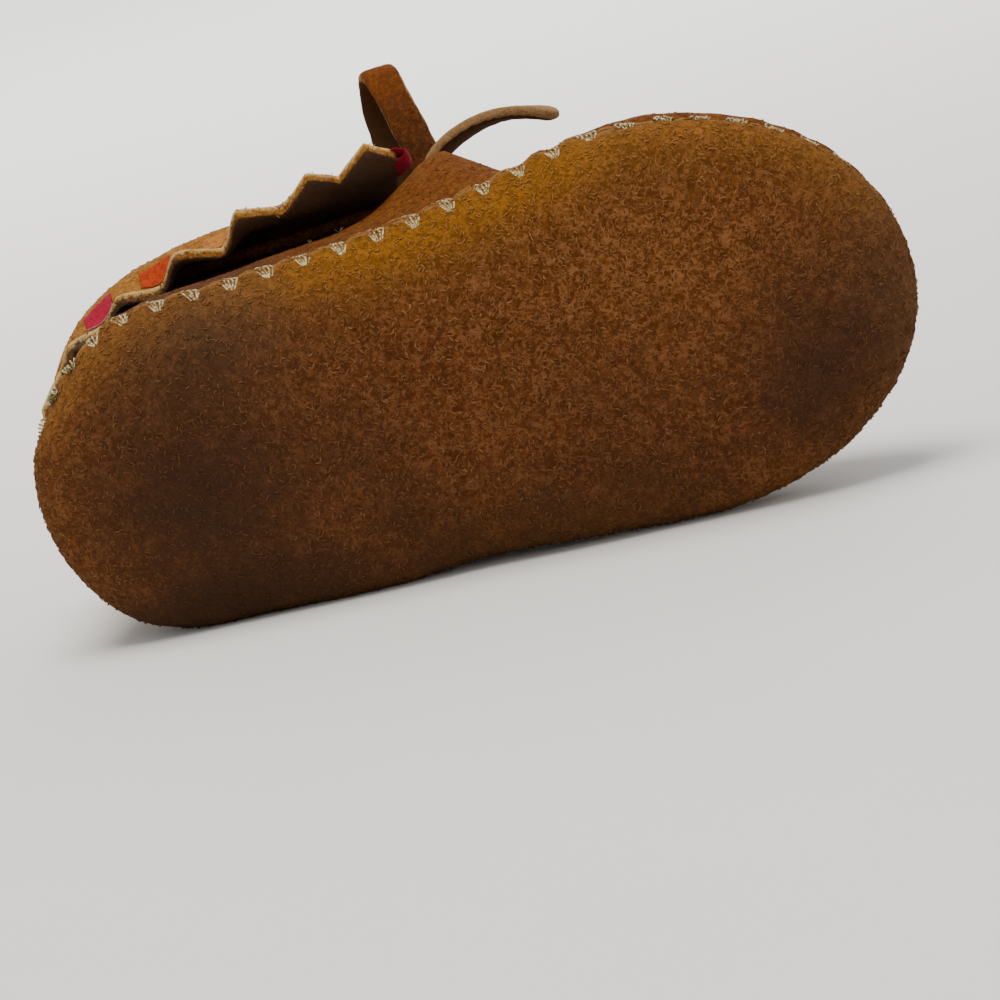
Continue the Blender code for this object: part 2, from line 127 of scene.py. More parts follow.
END_INNER = [
    (60.2, -6.6, 38.0), (62.4, -3.4, 38.4), (64.6, 2.0, 38.0), (66.8, 8.6, 36.2),
    (69.2, 15.0, 33.6), (72.0, 20.0, 31.2), (75.4, 22.6, 29.2), (79.2, 23.6, 28.0),
]

# ---- dressing sizes ----

SEAM_STEPS = 60, 140, 90
SKIN_LIFT = 0.05 * MM
RIM_ANGLE = radians(52)
RIM_WIDTH = 2.3 * MM
LOOP_WIDTH = 1.2 * THONG_WIDTH
END_WIDTH = 1.06 * THONG_WIDTH
THONG_RING = 0.45 * MM
THONG_SIDES = 20
KNOT_STEPS = 28
STITCH_PITCH = 4.7 * MM
STITCH_DEEP = 1.9 * MM
STITCH_TALL = 2.4 * MM
STRANDS = 5
STRAND_STOPS = 10
STRAND = 0.27 * MM
CUFF_HEIGHT = 37.6 * MM
CUFF_FALL = 0.048
TOOTH_BAND = 1.5 * MM
NOTCH_DOWN = 14.3 * MM
PATCH_DOWN = 10.0 * MM
PATCH_TALL = 3.4 * MM
PATCH_LONG = 5.4 * MM
PATCH_THICK = 0.35 * MM
PATCH_DYES = (0.0, 1.0, 0.5)
PATCH_STEPS = 60, 110, 1
TAB_DOWN = 10.8 * MM
TAB_LONG = 0.03
TAB_STEPS = 1, 160, 1

Spoke = namedtuple("Spoke", "root ray reach along seam")
SeamPlace = namedtuple("SeamPlace", "place out forward travelled")


def smooth(share):
    """From 0 to 1 with a soft start and a soft end."""
    share = min(max(share, 0.0), 1.0)
    return share * share * (3 - 2 * share)


def rise(value, start, width):
    """From 0 at a start to 1 a width further."""
    return smooth((value - start) / width)


def hill(distance, width):
    """1 at no distance, falling softly to nothing past about twice the width."""
    return exp(-((distance / width) ** 2))


def boxy(turn, *powers):
    """Across and up on a round that the two powers, below 1, make boxier."""
    sides = cos(turn * tau), sin(turn * tau)
    return [copysign(abs(side) ** power, side) for side, power in zip(sides, powers)]


def read(table, column, along):
    """A table's column, drawn through its rows as a smooth curve."""
    rows = [(row.along, getattr(row, column)) for row in table]
    along = min(max(along, rows[0][0]), rows[-1][0])
    last = len(rows) - 1
    at = max(i for i in range(last) if rows[i][0] <= along)
    slopes = []
    for i in (at, at + 1):
        low, high = rows[max(i - 1, 0)], rows[min(i + 1, last)]
        slopes.append((high[1] - low[1]) / (high[0] - low[0]))
    (a, value_a), (b, value_b) = rows[at], rows[at + 1]
    span = b - a
    t = (along - a) / span
    return (
        value_a * (1 + 2 * t) * (1 - t) ** 2
        + value_b * t * t * (3 - 2 * t)
        + slopes[0] * span * t * (1 - t) ** 2
        - slopes[1] * span * t * t * (1 - t)
    )


def catmull_rom(route, step):
    """Points about a step apart along a smooth curve through a route."""
    ends = [route[0] * 2 - route[1], *route, route[-1] * 2 - route[-2]]
    points = []
    for a, b, c, d in zip(ends, ends[1:], ends[2:], ends[3:]):
        count = max(1, round((c - b).length / step))
        for i in range(count):
            t = i / count
            points.append(
                (b * 2 + (c - a) * t + (a * 2 - b * 5 + c * 4 - d) * t * t
                 + (b * 3 - a - c * 3 + d) * t ** 3) / 2
            )
    return points + [route[-1]]


def even(stops, rounds):
    """Stops with their jumps softened, the two ends kept."""
    for _ in range(rounds):
        middle = [(a + b * 2 + c) / 4 for a, b, c in zip(stops, stops[1:], stops[2:])]
        stops = [stops[0], *middle, stops[-1]]
    return stops


def half_width(side, x):
    """From the middle line to the sole's edge, at the outer side (-1) or the inner (1)."""
    column = "outer" if side < 0 else "inner"
    return read(OUTLINE, column, x / SOLE_LENGTH) * BALL_WIDTH


def side_spokes(side, heel_steps, body_steps, toe_steps):
    """Spokes to one side's edge, from the back of the heel to the tip of the toe."""
    rows = []
    for i in range(heel_steps):
        turn = pi / 2 * i / heel_steps
        rows.append((HEEL_ROUND, HEEL_ROUND * (1 - cos(turn)), sin(turn)))
    for i in range(body_steps):
        x = HEEL_ROUND + (TOE_CENTRE - HEEL_ROUND) * i / body_steps
        rows.append((x, x, 1))
    for i in range(toe_steps + 1):
        turn = pi / 2 * i / toe_steps
        rows.append((TOE_CENTRE, TOE_CENTRE + TOE_ROUND * sin(turn), cos(turn)))
    spokes = []
    for root_x, x, share in rows:
        root, along = Vector((root_x, 0, 0)), x / SOLE_LENGTH
        way = Vector((x, side * half_width(side, x) * share, 0)) - root
        seam = read(OUTLINE, "seam", along)
        spokes.append(Spoke(root, way.normalized(), way.length, along, seam))
    return spokes


def seam_line():
    """The seam right round the foot, in short steps from the back of the heel."""
    outer, inner = (side_spokes(side, *SEAM_STEPS) for side in (-1, 1))
    spokes = outer + inner[-2:0:-1]
    places = [s.root + s.ray * s.reach + UP * s.seam for s in spokes]
    line, travelled = [], 0.0
    for i, (place, spoke) in enumerate(zip(places, spokes)):
        following = places[(i + 1) % len(places)]
        forward = (following - places[i - 1]).normalized()
        line.append(SeamPlace(place, spoke.ray, forward, travelled))
        travelled += (following - place).length
    return line, travelled


SEAM, SEAM_LENGTH = seam_line()
STITCHES = round(SEAM_LENGTH / STITCH_PITCH)
PITCH = SEAM_LENGTH / STITCHES
SEAM_TREE = KDTree(len(SEAM))
for number, seam_place in enumerate(SEAM):
    SEAM_TREE.insert(seam_place.place, number)
SEAM_TREE.balance()


def seam_at(travelled):
    """The seam's place and outward ray a distance along it."""
    travelled %= SEAM_LENGTH
    i = bisect(SEAM, travelled, key=lambda stop: stop.travelled) - 1
    a, b = SEAM[i], SEAM[(i + 1) % len(SEAM)]
    end = b.travelled if b.travelled > a.travelled else SEAM_LENGTH
    t = (travelled - a.travelled) / (end - a.travelled)
    return a.place.lerp(b.place, t), a.out.lerp(b.out, t)


# ---- making and placing pieces ----

def mesh_from(bm, name):
    """A smooth-shaded mesh of what bm holds; bm is let go."""
    mesh = bpy.data.meshes.new(name)
    bm.to_mesh(mesh)
    bm.free()
    mesh.shade_smooth()
    return mesh


def put_in_scene(name, data):
    made = bpy.data.objects.new(name, data)
    bpy.context.scene.collection.objects.link(made)
    return made


def finish_piece(name, mesh, material, slot, replaces=()):
    """Lays a mesh made in the shoe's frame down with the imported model, as a piece."""
    mesh.transform(SHOE)
    mesh.update()
    mesh.name = name
    mesh.materials.append(material)
    piece = put_in_scene(name, mesh)
    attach(piece, "root")
    if replaces:
        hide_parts(*replaces)
    return piece


def paint(mesh, **marks):
    """Numbers at every point of a mesh, for its material to read."""
    for name, values in marks.items():
        layer = mesh.attributes.get(name) or mesh.attributes.new(name, "FLOAT", "POINT")
        layer.data.foreach_set("value", values)


def marks_of(mesh, name):
    """What a mark says at each point of a mesh."""
    return [item.value for item in mesh.attributes[name].data]


def from_middle(place):
    """The way out from the shoe's middle line."""
    root = Vector((min(max(place.x, HEEL_ROUND), TOE_CENTRE), 0, 15 * MM))
    return (place - root).normalized()


def soft_copy(node, levels, crease=0.75, inner_edge=1.0):
    """A smooth copy of a node in the shoe's frame; its cut rims stay crisp and are marked."""
    bm = bmesh.new()
    bm.from_mesh(frame["nodes"][node].data)
    bmesh.ops.transform(bm, matrix=TO_SHOE, verts=bm.verts)
    bmesh.ops.remove_doubles(bm, verts=bm.verts, dist=0.004 * MM)
    bmesh.ops.join_triangles(
        bm, faces=bm.faces, angle_face_threshold=radians(35),
        angle_shape_threshold=radians(60),
    )
    sharp = bm.edges.layers.float.new("crease_edge")
    edge_mark = bm.verts.layers.float.new("edge")
    for edge in bm.edges:
        if len(edge.link_faces) == 2 and edge.calc_face_angle() > RIM_ANGLE:
            edge[sharp] = crease
    for face in bm.faces:
        short = min(face.edges, key=lambda edge: edge.calc_length())
        creased = [edge for edge in face.edges if edge[sharp] > 0]
        if len(creased) < 2 or short.calc_length() >= RIM_WIDTH:
            continue
        ends = short.verts
        for vert in face.verts:
            inner = min(ends, key=lambda end: end.co.dot(from_middle(vert.co)))
            way = (inner.co - ends[0].co - ends[1].co + inner.co).normalized()
            near_inner = (vert.co - face.calc_center_median()).dot(way) > 0
            vert[edge_mark] = inner_edge if near_inner else 1.0
    coarse = mesh_from(bm, node + "_coarse")
    holder = put_in_scene(coarse.name, coarse)
    round_off = holder.modifiers.new("Round", "SUBSURF")
    round_off.levels = round_off.render_levels = levels
    graph = bpy.context.evaluated_depsgraph_get()
    made = bpy.data.meshes.new_from_object(holder.evaluated_get(graph))
    made.materials.clear()
    bpy.data.objects.remove(holder)
    bpy.data.meshes.remove(coarse)
    made.shade_smooth()
    return made


def push(mesh, move):
    """Moves every point of a mesh by what move(place) gives."""
    for vert in mesh.vertices:
        vert.co += move(vert.co)
    mesh.update()


def tube_mesh(name, along, around, place):
    """A closed tube on the surface that place(share, turn) gives."""
    bm = bmesh.new()
    bmesh.ops.create_grid(bm, x_segments=along, y_segments=around, size=0.5)
    share = bm.verts.layers.float.new("share")
    turn = bm.verts.layers.float.new("turn")
    for vert in bm.verts:
        vert[share], vert[turn] = vert.co.x + 0.5, vert.co.y + 0.5
        vert.co = place(vert[share], vert[turn])
    bmesh.ops.remove_doubles(bm, verts=bm.verts, dist=0.003 * MM)
    bmesh.ops.holes_fill(bm, edges=[e for e in bm.edges if e.is_boundary], sides=0)
    bmesh.ops.recalc_face_normals(bm, faces=bm.faces)
    return mesh_from(bm, name)


def join(meshes, name):
    bm = bmesh.new()
    for mesh in meshes:
        bm.from_mesh(mesh)
        bpy.data.meshes.remove(mesh)
    return mesh_from(bm, name)


# ---- camera and light ----

CAMERA_AIM = mm(56.5, 0, 4)
CAMERA_AWAY = 0.42
CAMERA_FIELD = 0.12255
CAMERA_SHIFT = 0.022, -0.114
CAMERA_ROUND = radians(15)
CAMERA_FORWARD = radians(5)
CAMERA_ROLL = radians(15.5)
SENSOR = 36


def add_camera():
    """The camera faces the sole, a little from the toe and the outer side, and rolled."""
    away = TURN @ Vector((
        sin(CAMERA_FORWARD) * cos(CAMERA_ROUND),
        -sin(CAMERA_ROUND),
        -cos(CAMERA_ROUND) * cos(CAMERA_FORWARD),
    )).normalized()
    along = TURN @ Vector((1, 0, 0))
    level = (along - away * along.dot(away)).normalized()
    upright = away.cross(level)
    right = level * cos(CAMERA_ROLL) - upright * sin(CAMERA_ROLL)
    up = upright * cos(CAMERA_ROLL) + level * sin(CAMERA_ROLL)
    data = bpy.data.cameras.new("camera")
    data.sensor_width = SENSOR
    data.lens = SENSOR * CAMERA_AWAY / CAMERA_FIELD
    data.shift_x, data.shift_y = CAMERA_SHIFT
    data.clip_start = 0.01
    camera = put_in_scene("camera", data)
    turned = Matrix((right, up, away)).transposed().to_4x4()
    camera.matrix_world = Matrix.Translation(SHOE @ CAMERA_AIM + away * CAMERA_AWAY) @ turned
    bpy.context.scene.camera = camera


def add_light(name, place, aim, size, watts, colour):
    """A round soft light at a place, turned to its aim."""
    data = bpy.data.lights.new(name, "AREA")
    data.shape = "DISK"
    data.size = size
    data.energy = watts
    data.color = colour
    turned = (Vector(place) - Vector(aim)).to_track_quat("Z", "Y").to_matrix().to_4x4()
    put_in_scene(name, data).matrix_world = Matrix.Translation(place) @ turned


FLOOR_RISE = [
    (0, 0), (0.4, 0), (1.0, 0), (1.5, 0.03), (2.0, 0.14), (2.5, 0.38), (2.9, 0.75), (3.2, 1.3),
    (3.3, 2.0),
]


def add_studio(floor_finish):
    """A wide bowl of pale paper under a soft overhead window, with weak fills all round."""
    middle = (0, 0, 0.03)
    add_light("window", (-0.08, -0.14, 1.15), middle, 0.75, 16, (1.0, 0.96, 0.89))
    add_light("front_fill", (0.4, -1.3, 0.45), middle, 1.2, 2.2, (1.0, 0.96, 0.90))
    add_light("back_fill", (0.2, 1.3, 0.8), middle, 1.2, 7, (0.98, 0.99, 1.0))
    add_light("floor_wash", (-0.3, 0.8, 1.5), (-0.6, 2.7, 0.4), 1.6, 56, (0.98, 0.99, 1.0))
    world = bpy.data.worlds.new("studio")
    world.use_nodes = True
    air = world.node_tree.nodes["Background"].inputs
    air["Color"].default_value = (0.95, 0.965, 0.98, 1)
    air["Strength"].default_value = 0.62
    bpy.context.scene.world = world
    bm = bmesh.new()
    corners = [bm.verts.new((out, 0, up)) for out, up in FLOOR_RISE]
    edges = [bm.edges.new(pair) for pair in zip(corners, corners[1:])]
    bmesh.ops.spin(
        bm, geom=corners + edges, axis=(0, 0, 1), cent=(0, 0, 0), angle=tau, steps=64,
        use_merge=True,
    )
    bmesh.ops.remove_doubles(bm, verts=bm.verts, dist=0.1 * MM)
    bmesh.ops.recalc_face_normals(bm, faces=bm.faces)
    floor = put_in_scene("floor", mesh_from(bm, "floor"))
    floor.data.materials.append(floor_finish)


# ---- finishes ----

def feed(sockets, values):
    """Feeds each named socket with a number, a colour or another node's output."""
    for key, value in values.items():
        socket = sockets[key]
        if isinstance(value, bpy.types.NodeSocket):
            socket.id_data.links.new(value, socket)
        else:
            socket.default_value = (*value, 1) if socket.type == "RGBA" else value


def add_node(kind, values, tree=None, **settings):
    """A new node in the tree, or beside what feeds it; gives its outputs."""
    fed = (value for value in values.values() if isinstance(value, bpy.types.NodeSocket))
    made = (tree or next(fed).id_data).nodes.new("ShaderNode" + kind)
    for key, value in settings.items():
        setattr(made, key, value)
    feed(made.inputs, values)
    return made.outputs


def on_piece(tree):
    """The place on the piece, which patterns stay fixed to."""
    return add_node("TexCoord", {}, tree)["Object"]


def mark(tree, name):
    """What was painted on the mesh under a name, or 0."""
    return add_node("Attribute", {}, tree, attribute_name=name)["Fac"]


def clouds_of(place, scale, detail=2.0, distortion=0.0, rough=0.5):
    """Smooth noise round one half."""
    return add_node("TexNoise", {
        "Vector": place, "Scale": scale, "Detail": detail, "Distortion": distortion,
        "Roughness": rough,
    })["Fac"]


def between(value, low, high):
    """0 below low, 1 above high and soft between."""
    values = {"Value": value, "From Min": low, "From Max": high}
    return add_node("MapRange", values, interpolation_type="SMOOTHSTEP")["Result"]


def work_out(a, kind, b):
    return add_node("Math", {0: a, 1: b}, operation=kind)["Value"]


def weighed(*parts):
    """The sum of several values, each times its weight."""
    total, *others = (work_out(value, "MULTIPLY", weight) for value, weight in parts)
    for other in others:
        total = work_out(total, "ADD", other)
    return total


def blend(share, a, b):
    """Colour a where share is 0 and colour b where it is 1."""
    return add_node("Mix", {0: share, 6: a, 7: b}, data_type="RGBA")[2]


def new_group(name, inputs, outputs):
    """A node group, what it is given and what it gives."""
    tree = bpy.data.node_groups.new(name, "ShaderNodeTree")
    for way, sockets in (("INPUT", inputs), ("OUTPUT", outputs)):
        for socket, kind in sockets.items():
            tree.interface.new_socket(socket, in_out=way, socket_type="NodeSocket" + kind)
    return tree, tree.nodes.new("NodeGroupInput").outputs, tree.nodes.new("NodeGroupOutput").inputs


def curls(place, scale, width, seed):
    """Short curled fibres: thin winding lines, broken into pieces."""
    shift = {0: place, 1: (seed, 0.7 * seed, 0.3 * seed)}
    shifted = add_node("VectorMath", shift, operation="ADD")[0]
    winding = clouds_of(shifted, scale, 1.0, 0.9, 0.4)
    away = work_out(work_out(winding, "SUBTRACT", 0.5), "ABSOLUTE", 0)
    line = work_out(1.0, "SUBTRACT", between(away, width * 0.25, width))
    broken = between(clouds_of(shifted, scale * 0.8, 1.0), 0.44, 0.56)
    return work_out(line, "MULTIPLY", broken)


def suede_group():
    """Napped suede: broad clouds, mottling and short curled fibres."""
    tree, given, out = new_group(
        "Suede nap",
        {"Deep": "Color", "Body": "Color", "Fibre": "Color", "Fibre Share": "Float"},
        {"Color": "Color", "Height": "Float"},
    )
    place = on_piece(tree)
    clouds = between(clouds_of(place, 110, 4, 0.4), 0.30, 0.70)
    tufts = between(clouds_of(place, 860, 2, 1.1), 0.36, 0.64)
    pits = between(clouds_of(place, 1500, 2, 0.8), 0.30, 0.58)
    shade = weighed((clouds, 0.22), (tufts, 0.84))
    body = blend(shade, given["Deep"], given["Body"])
    body = blend(pits, given["Deep"], body)
    short_fibres = work_out(curls(place, 1600, 0.100, 0.37), "MULTIPLY", 0.8)
    fibres = work_out(curls(place, 950, 0.080, 0.0), "MAXIMUM", short_fibres)
    flecks = work_out(fibres, "MULTIPLY", given["Fibre Share"])
    feed(out, {
        "Color": blend(flecks, body, given["Fibre"]),
        "Height": weighed((fibres, 0.22), (pits, 0.35), (tufts, 0.5)),
    })
    return tree


def soil_group():
    """Ground-in grime and painted shade where the mark is high, broken up by the nap."""
    sockets = {"Color": "Color", "Dirt_and_shade": "Color", "Soil_and_shade": "Float"}
    tree, given, out = new_group("Ground-in grime and painted shade", sockets, {"Color": "Color"})
    place = on_piece(tree)
    patchy = clouds_of(place, 260, 4, 0.4)
    fine = clouds_of(place, 1300, 2)
    lean = work_out(weighed((patchy, 0.5), (fine, 0.3)), "SUBTRACT", 0.40)
    share = between(work_out(given["Soil_and_shade"], "ADD", lean), 0.05, 1.0)
    feed(out, {"Color": blend(share, given["Color"], given["Dirt_and_shade"])})
    return tree


def cut_edge_group():
    """The pale raw edge of cut suede, ragged where it meets the face."""
    sockets = {"Color": "Color", "Raw": "Color", "Edge": "Float"}
    tree, given, out = new_group("Cut edge", sockets, {"Color": "Color"})
    place = on_piece(tree)
    ragged = work_out(clouds_of(place, 1400, 3, 0.5), "SUBTRACT", 0.5)
    edge = work_out(given["Edge"], "ADD", weighed((ragged, 0.7)))
    layers = between(clouds_of(place, 3000, 2), 0.38, 0.62)
    raw = blend(layers, given["Raw"], given["Color"])
    raw = blend(0.65, raw, given["Raw"])
    feed(out, {"Color": blend(between(edge, 0.62, 0.86), given["Color"], raw)})
    return tree


SUEDE, SOIL_AND_SHADE, CUT_EDGE = suede_group(), soil_group(), cut_edge_group()


def start_finish(name):
    made = bpy.data.materials.new(name)
    made.use_nodes = True
    return made, made.node_tree


def end_finish(
    made, colour, rough, sheen=0.0, sheen_colour=(1, 1, 1), height=None, deep=0.0, relief=1.0
):
    """Gives a material its colour, a matt or velvety surface, and its relief."""
    values = {
        "Base Color": colour, "Roughness": rough, "Specular IOR Level": 0.06,
        "Sheen Weight": sheen, "Sheen Roughness": 0.5, "Sheen Tint": sheen_colour,
    }
    if height is not None:
        bump = {"Height": height, "Distance": deep * MM, "Strength": relief}
        values["Normal"] = add_node("Bump", bump)["Normal"]
    feed(made.node_tree.nodes["Principled BSDF"].inputs, values)
    return made


def suede_finish(name, deep, body, fibre, share, glow, dirt_and_shade, raw, relief):
    """Suede with a warmer, lighter tone where it is little worn, partly its own colour and partly
    a painted highlight; dust; ground-in grime and painted shade; and pale cut edges.
    """
    made, tree = start_finish(name)
    raised = work_out(weighed((mark(tree, "worn"), 0.5)), "ADD", share)
    warm_deep, warm_fibre = (tuple(c * part for c in glow) for part in (0.58, 1.4))
    nap, warm = (
        add_node(
            "Group", {"Deep": a, "Body": b, "Fibre": c, "Fibre Share": d}, tree, node_tree=SUEDE
        )
        for a, b, c, d in ((deep, body, fibre, raised), (warm_deep, glow, warm_fibre, share * 0.8))
    )
    colour = blend(mark(tree, "glow"), nap["Color"], warm["Color"])
    colour = blend(mark(tree, "dust"), colour, (0.085, 0.056, 0.034))
    soiled = {"Color": colour, "Dirt_and_shade": dirt_and_shade, "Soil_and_shade": mark(tree, "soil")}
    colour = add_node("Group", soiled, node_tree=SOIL_AND_SHADE)["Color"]
    cut = {"Color": colour, "Raw": raw, "Edge": mark(tree, "edge")}
    colour = add_node("Group", cut, node_tree=CUT_EDGE)["Color"]
    return end_finish(made, colour, 0.93, 0.015, (1.0, 0.7, 0.4), nap["Height"], 0.26, relief)


# each suede's deep, body and fibre colours, share of fibres, warm tone (partly a painted
# highlight), colour of dirt and painted shade, raw edge and relief
SUEDES = (
    ("thong", (0.048, 0.014, 0.004), (0.105, 0.032, 0.007), (0.20, 0.09, 0.03), 0.22,
     (0.17, 0.046, 0.006), (0.047, 0.022, 0.010), (0.27, 0.162, 0.070), 0.35),
    ("sole", (0.067, 0.020, 0.005), (0.133, 0.043, 0.011), (0.232, 0.096, 0.038), 0.52,
     (0.215, 0.082, 0.010), (0.042, 0.019, 0.010), (0.22, 0.10, 0.03), 0.7),
    ("upper", (0.084, 0.023, 0.004), (0.145, 0.043, 0.006), (0.22, 0.086, 0.015), 0.4,
     (0.225, 0.079, 0.008), (0.045, 0.020, 0.011), (0.28, 0.14, 0.045), 0.7),
    ("cuff", (0.18, 0.065, 0.010), (0.32, 0.135, 0.022), (0.42, 0.21, 0.06), 0.4,
     (0.34, 0.14, 0.02), (0.085, 0.050, 0.031), (0.56, 0.37, 0.14), 0.7),
)


def hair_finish(name, dark, light, glow, dirt_and_shade):
    """Loose fibres, each with its own tone, taking the warm tone and painted highlight, and the
    grime and painted shade, of the skin under them.
    """
    made, tree = start_finish(name)
    colour = blend(mark(tree, "tone"), dark, light)
    colour = blend(mark(tree, "glow"), colour, glow)
    return end_finish(made, blend(mark(tree, "soil"), colour, dirt_and_shade), 0.85)


def thread_finish():
    """Ecru thread, darker between its plies."""
    made, tree = start_finish("ecru_thread")
    plies = clouds_of(on_piece(tree), 2600, 3, 0.4)
    colour = blend(between(plies, 0.36, 0.62), (0.16, 0.11, 0.04), (0.56, 0.49, 0.29))
    return end_finish(made, colour, 0.7, height=plies, deep=0.1, relief=0.6)


def felt_finish():
    """Crimson felt, in tufts, faded here and there."""
    made, tree = start_finish("crimson_felt_nap")
    place = on_piece(tree)
    tufts = clouds_of(place, 1100, 4, 0.8)
    faded = between(clouds_of(place, 120, 2), 0.3, 0.8)
    felt = blend(between(tufts, 0.35, 0.66), (0.20, 0.008, 0.02), (0.50, 0.02, 0.05))
    colour = blend(faded, felt, (0.36, 0.012, 0.03))
    return end_finish(made, colour, 0.97, 0.25, (1.0, 0.6, 0.6), tufts, 0.4, 0.9)


def patch_finish():
    """Felt patches dyed from crimson through orange to tan, some with a pale lower edge."""
    made, tree = start_finish("patch_felt")
    hairs = clouds_of(on_piece(tree), 1700, 3, 0.6)
    dye = mark(tree, "dye")
    orange, tan = between(dye, 0.05, 0.5), between(dye, 0.55, 1.0)
    felt = blend(orange, (0.32, 0.010, 0.036), (0.36, 0.040, 0.008))
    felt = blend(tan, felt, (0.38, 0.15, 0.035))
    dark = blend(0.45, felt, (0.10, 0.01, 0.01))
    felt = blend(between(hairs, 0.35, 0.60), dark, felt)
    pale = blend(between(hairs, 0.35, 0.65), (0.30, 0.12, 0.15), (0.48, 0.27, 0.32))
    colour = blend(between(mark(tree, "pale"), 0.35, 0.65), felt, pale)
    return end_finish(made, colour, 0.9, 0.03, (1.0, 0.6, 0.5), hairs, 0.25, 0.8)


def floor_finish():
    made, tree = start_finish("pale_paper")
    grain = clouds_of(on_piece(tree), 30, 3)
    return end_finish(made, blend(grain, (0.77, 0.755, 0.73), (0.79, 0.78, 0.76)), 0.85)


# ---- pieces: thong ----

def strap_mesh(name, points, start_across, end_across, width, thick, shaded_flesh_side=0, on_loop=0.0):
    """A flat thong along points; its width turns from one way across to another."""
    points = even(points, 3)
    travelled = list(accumulate(((b - a).length for a, b in zip(points, points[1:])), initial=0.0))
    length = travelled[-1]
    seed = Vector((length * 300, len(name), 3.1))

    def spine(distance):
        i = min(max(bisect(travelled, distance) - 1, 0), len(points) - 2)
        t = (distance - travelled[i]) / (travelled[i + 1] - travelled[i])
        return points[i].lerp(points[i + 1], t)

    def place(share, turn):
        here = spine(share * length)
        ahead, behind = spine(min(share + 0.02, 1) * length), spine(max(share - 0.02, 0) * length)
        forward = (ahead - behind).normalized()
        across = start_across.lerp(end_across, share)
        side = (across - forward * across.dot(forward)).normalized()
        face = forward.cross(side)
        from_end = min(share, 1 - share) * length / (1.5 * MM)
        round_end = 0.3 + 0.7 * sqrt(min(from_end, 1.0))
        waver = 1 + 0.07 * noise(seed + Vector((share * length * 260, 0, 0)))
        u, v = boxy(turn, 0.38, 0.70)
        rough = noise(here * 900 + Vector((u, v, 0)) * 2) * 0.10 * MM
        bend = 0.18 * MM * (u * u - 0.5)
        return (
            here
            + side * (u * (width / 2 * waver * round_end + rough))
            + face * (v * (thick / 2 * round_end) + bend + rough * 0.6)
        )

    mesh = tube_mesh(name, max(8, round(length / THONG_RING)), THONG_SIDES, place)
    angles, shares = [turn * tau for turn in marks_of(mesh, "turn")], marks_of(mesh, "share")
    worn = [1 - on_loop * (0.22 + 0.35 * noise(seed + v.co * 160)) for v in mesh.vertices]
    # painted highlight along the middle of each loop, where it rises to the light; painted shade
    # on the flesh side, the face turned from the light, and on each loop's low end by the knot
    paint(
        mesh,
        edge=[rise(abs(cos(a)), 0.62, 0.3) * part for a, part in zip(angles, worn)],
        glow=[on_loop * hill(share - 0.5, 0.16) for share in shares],
        soil=[
            max(0.82 * smooth(shaded_flesh_side * sin(a) * 1.5), 0.5 * on_loop * hill(share, 0.36))
            for a, share in zip(angles, shares)
        ],
    )
    return mesh


def wear_end(mesh):
    """A bow's free end has lost its colour along its outer face."""
    rows = zip(*(mesh.attributes[name].data for name in ("edge", "share", "turn")))
    for edge, share, turn in rows:
        outer_face = smooth(sin(turn.value * tau) * 2)
        edge.value = max(edge.value, 0.92 * outer_face * rise(share.value, 0.18, 0.4))


def add_bow(finish):
    knot = add_knot(finish)
    for name, route, start_across, end_across, shaded_flesh_side, far_end, length in (
        ("thong_loop_outer", LOOP_OUTER, (1, -0.1, -0.1), (1, 0, -0.2), 1, "object", 0.058),
        ("thong_loop_inner", LOOP_INNER, (1, 0, 0.1), (1, 0, 0.1), 1, "object", 0.061),
        ("thong_end_outer", END_OUTER, (0, 1.2, 1), (0, 0.0, 1), -1, "bare", 0.0302),
        ("thong_end_inner", END_INNER, (0, 0, 1), (0, 0.4, 1), 1, "bare", 0.039),
    ):
        points = catmull_rom([mm(*stop) for stop in route], 1.0 * MM)
        is_loop = far_end == "object"
        width = LOOP_WIDTH if is_loop else END_WIDTH
        across = Vector(start_across), Vector(end_across)
        mesh = strap_mesh(name, points, *across, width, THONG_THICK, shaded_flesh_side, float(is_loop))
        if not is_loop:
            wear_end(mesh)
        piece = finish_piece(name, mesh, finish, "thong_suede", [name.replace("thong", "lace")])
        path = [SHOE @ point for point in points]
        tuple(path[0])


def add_knot(finish):
    """Two turns of thong wrapped about a filled middle."""
    meshes = []
    across = Vector((0, 1, 0))
    for lean, lift, shift, wide in ((0.0, 0.0, -0.5, 1.0), (0.42, 0.35, 0.7, 0.94)):
        points = []
        for i in range(KNOT_STEPS + 1):
            angle = tau * i / KNOT_STEPS + 0.7
            points.append(KNOT + Vector((
                (KNOT_SIZE.x / 2 - 0.55 * MM - lift * MM) * cos(angle),
                (lean * 2.0 * MM) * sin(angle) + shift * MM,
                (KNOT_SIZE.z / 2 - 0.45 * MM - lift * MM) * sin(angle),
            )))
        meshes.append(strap_mesh("turn", points, across, across, THONG_WIDTH * wide, 1.2 * MM))
    bm = bmesh.new()
    bmesh.ops.create_uvsphere(bm, u_segments=24, v_segments=16, radius=0.5)
    bmesh.ops.scale(bm, vec=KNOT_SIZE * 0.86, verts=bm.verts)
    bmesh.ops.translate(bm, vec=KNOT, verts=bm.verts)
    meshes.append(mesh_from(bm, "middle"))
    mesh = join(meshes, "thong_knot")
    return finish_piece("thong_knot", mesh, finish, "thong_suede", ["lace_knot"])


# ---- pieces: skins ----

def by_seam(place):
    """How far along the seam, how far from it, and the seam's own place."""
    _, number, distance = SEAM_TREE.find(place)
    near = SEAM[number]
    return near.travelled + (place - near.place).dot(near.forward), distance, near


def at_stitch(travelled):
    """1 at each stitch and 0 midway between."""
    return 0.5 + 0.5 * cos(tau * travelled / PITCH)


